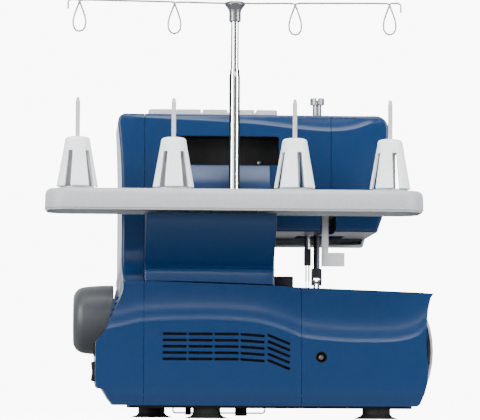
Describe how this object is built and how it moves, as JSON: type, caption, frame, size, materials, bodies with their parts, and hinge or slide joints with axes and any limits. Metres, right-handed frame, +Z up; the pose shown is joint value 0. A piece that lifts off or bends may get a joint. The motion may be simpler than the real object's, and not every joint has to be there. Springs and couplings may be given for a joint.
{
  "type": "serger overlock machine",
  "caption": "Overlock sewing machine with a rear spool tray, cone holders, telescopic thread stand, handwheel, sewing head and swing-down looper cover.",
  "frame": {"origin": "on the table under the middle of the bounding box", "axes": "+X to the operator's right (handwheel side), -Y towards the operator, +Z up"},
  "size_m": [0.3997, 0.286, 0.405],
  "materials": {
    "blue_plastic": "gloss",
    "grey_plastic": "satin",
    "white_plastic": "satin",
    "black_plastic": "matte",
    "rubber": "matte",
    "steel": "satin",
    "chrome": "polished",
    "casting": "cast",
    "bronze": "sintered",
    "dark_steel": "blackened"
  },
  "bodies": {
    "machine": {"rear_cover": "blue_plastic", "right_cover": "blue_plastic", "head_cover": "blue_plastic", "left_cover": "blue_plastic", "front_panel": "grey_plastic", "top_thread_guide": "grey_plastic", "cloth_plate": "grey_plastic", "needle_plate": "steel", "base_pan": "black_plastic", "suction_feet": "rubber", "underside_wire": "chrome", "frame_casting": "casting", "shaft_bearings": "bronze", "drive_belt": "rubber", "motor": "dark_steel", "bar_bushes": "bronze", "presser_spring": "steel", "lifter_bracket": "casting", "lower_knife": "steel", "looper_brackets": "casting", "tension_axle": "steel", "power_inlet": "black_plastic", "spool_tray": "grey_plastic", "stand_bracket": "dark_steel", "spool_pins": "grey_plastic", "pole_lower_tube": "chrome"},
    "cover_carrier": {"looper_cover_rod": "steel"},
    "looper_cover": {"looper_cover": "grey_plastic"},
    "main_shaft": {"handwheel": "grey_plastic", "main_shaft": "steel", "drive_pulley": "black_plastic"},
    "motor_pulley": {"motor_pulley": "black_plastic"},
    "needle_lever": {"needle_lever": "casting"},
    "drive_rod": {"drive_rod": "steel"},
    "needle_bar": {"needle_bar": "steel", "needle_clamp": "dark_steel", "needles": "steel"},
    "presser_bar": {"presser_bar": "dark_steel", "presser_bracket": "casting"},
    "presser_foot": {"presser_foot": "steel"},
    "presser_lifter": {"presser_lifter": "white_plastic"},
    "pressure_knob": {"pressure_knob": "chrome"},
    "upper_knife": {"upper_knife": "dark_steel"},
    "lower_looper": {"lower_looper": "steel"},
    "upper_looper": {"upper_looper": "steel"},
    "main_feed_dog": {"main_feed_dog": "steel"},
    "front_feed_dog": {"front_feed_dog": "steel"},
    "stitch_length_dial": {"stitch_length_dial": "grey_plastic"},
    "differential_dial": {"differential_dial": "grey_plastic"},
    "power_switch": {"power_switch": "black_plastic"},
    "pole_upper_tube": {"pole_upper_tube": "chrome"},
    "thread_guide": {"thread_guide": "chrome"},
    "tension_dial_1": {"tension_dial_1": "white_plastic"},
    "cone_holder_1": {"cone_holder_1": "white_plastic"},
    "tension_dial_2": {"tension_dial_2": "white_plastic"},
    "cone_holder_2": {"cone_holder_2": "white_plastic"},
    "tension_dial_3": {"tension_dial_3": "white_plastic"},
    "cone_holder_3": {"cone_holder_3": "white_plastic"},
    "tension_dial_4": {"tension_dial_4": "white_plastic"},
    "cone_holder_4": {"cone_holder_4": "white_plastic"}
  },
  "joints": [
    {"name": "cover_slide", "type": "slide", "parent": "machine", "child": "cover_carrier", "axis": [1, 0, 0], "range_m": [0, 0.006]},
    {"name": "cover_hinge", "type": "hinge", "parent": "cover_carrier", "child": "looper_cover", "pos_m": [0, -0.136, 0.022], "axis": [1, 0, 0], "range_deg": [0, 88]},
    {"name": "main_shaft_spin", "type": "hinge", "parent": "machine", "child": "main_shaft", "pos_m": [0, -0.007, 0.097], "axis": [1, 0, 0], "continuous": true},
    {"name": "motor_spin", "type": "hinge", "parent": "machine", "child": "motor_pulley", "pos_m": [0.087, 0.04, 0.05], "axis": [1, 0, 0], "continuous": true},
    {"name": "needle_lever_rock", "type": "hinge", "parent": "machine", "child": "needle_lever", "pos_m": [0, -0.007, 0.213], "axis": [1, 0, 0], "range_deg": [-12, 12]},
    {"name": "drive_rod_slide", "type": "slide", "parent": "machine", "child": "drive_rod", "axis": [0, 0, 1], "range_m": [-0.0035, 0.0035]},
    {"name": "needle_bar_slide", "type": "slide", "parent": "machine", "child": "needle_bar", "axis": [0, 0, 1], "range_m": [-0.0104, 0.0104]},
    {"name": "presser_lifter_turn", "type": "hinge", "parent": "machine", "child": "presser_lifter", "pos_m": [-0.081, 0.018, 0.205], "axis": [1, 0, 0], "range_deg": [0, 50]},
    {"name": "presser_bar_slide", "type": "slide", "parent": "machine", "child": "presser_bar", "axis": [0, 0, 1], "range_m": [0, 0.0065], "deforming": ["presser_spring"]},
    {"name": "presser_foot_tip", "type": "hinge", "parent": "presser_bar", "child": "presser_foot", "pos_m": [-0.077, -0.039, 0.1375], "axis": [1, 0, 0], "range_deg": [-10, 0]},
    {"name": "pressure_knob_turn", "type": "hinge", "parent": "machine", "child": "pressure_knob", "pos_m": [-0.077, -0.037, 0.3], "axis": [0, 0, 1], "range_deg": [-360, 360]},
    {"name": "upper_knife_slide", "type": "slide", "parent": "machine", "child": "upper_knife", "axis": [0, 0, 1], "range_m": [-0.003, 0.006]},
    {"name": "lower_looper_swing", "type": "hinge", "parent": "machine", "child": "lower_looper", "pos_m": [-0.05, -0.045, 0.042], "axis": [0, 1, 0], "range_deg": [-14, 14]},
    {"name": "upper_looper_swing", "type": "hinge", "parent": "machine", "child": "upper_looper", "pos_m": [-0.012, -0.045, 0.062], "axis": [0, 1, 0], "range_deg": [-14, 14]},
    {"name": "main_feed_slide", "type": "slide", "parent": "machine", "child": "main_feed_dog", "axis": [0, 1, 0], "range_m": [-0.0015, 0.0015]},
    {"name": "front_feed_slide", "type": "slide", "parent": "machine", "child": "front_feed_dog", "axis": [0, 1, 0], "range_m": [-0.0015, 0.0015]},
    {"name": "stitch_length_turn", "type": "hinge", "parent": "machine", "child": "stitch_length_dial", "pos_m": [0.128, -0.066, 0.046], "axis": [1, 0, 0], "range_deg": [-140, 140]},
    {"name": "differential_turn", "type": "hinge", "parent": "machine", "child": "differential_dial", "pos_m": [0.128, -0.066, 0.088], "axis": [1, 0, 0], "range_deg": [-140, 140]},
    {"name": "power_switch_rock", "type": "hinge", "parent": "machine", "child": "power_switch", "pos_m": [0.1455, 0.053, 0.0452], "axis": [0, 1, 0], "range_deg": [-6, 6]},
    {"name": "pole_slide", "type": "slide", "parent": "machine", "child": "pole_upper_tube", "axis": [0, 0, 1], "range_m": [-0.042, 0.045]},
    {"name": "guide_swivel", "type": "hinge", "parent": "pole_upper_tube", "child": "thread_guide", "pos_m": [0.01435, 0.105, 0.39], "axis": [0, 0, 1], "range_deg": [-90, 90]},
    {"name": "tension_turn_1", "type": "hinge", "parent": "machine", "child": "tension_dial_1", "pos_m": [-0.114, -0.098, 0.245], "axis": [1, 0, 0], "range_deg": [-150, 150]},
    {"name": "cone_lift_1", "type": "slide", "parent": "machine", "child": "cone_holder_1", "axis": [0, 0, 1], "range_m": [0, 0.05]},
    {"name": "tension_turn_2", "type": "hinge", "parent": "machine", "child": "tension_dial_2", "pos_m": [-0.088, -0.098, 0.245], "axis": [1, 0, 0], "range_deg": [-150, 150]},
    {"name": "cone_lift_2", "type": "slide", "parent": "machine", "child": "cone_holder_2", "axis": [0, 0, 1], "range_m": [0, 0.05]},
    {"name": "tension_turn_3", "type": "hinge", "parent": "machine", "child": "tension_dial_3", "pos_m": [-0.062, -0.098, 0.245], "axis": [1, 0, 0], "range_deg": [-150, 150]},
    {"name": "cone_lift_3", "type": "slide", "parent": "machine", "child": "cone_holder_3", "axis": [0, 0, 1], "range_m": [0, 0.05]},
    {"name": "tension_turn_4", "type": "hinge", "parent": "machine", "child": "tension_dial_4", "pos_m": [-0.036, -0.098, 0.245], "axis": [1, 0, 0], "range_deg": [-150, 150]},
    {"name": "cone_lift_4", "type": "slide", "parent": "machine", "child": "cone_holder_4", "axis": [0, 0, 1], "range_m": [0, 0.05]}
  ],
  "couplings": [
    {"joint": "motor_spin", "follows": "main_shaft_spin", "ratio": 4.4615},
    {"joint": "needle_lever_rock", "follows": "needle_bar_slide", "rad_per_m": -20},
    {"joint": "drive_rod_slide", "follows": "needle_bar_slide", "ratio": -0.32},
    {"joint": "presser_bar_slide", "follows": "presser_lifter_turn", "m_per_rad": 0.007}
  ]
}
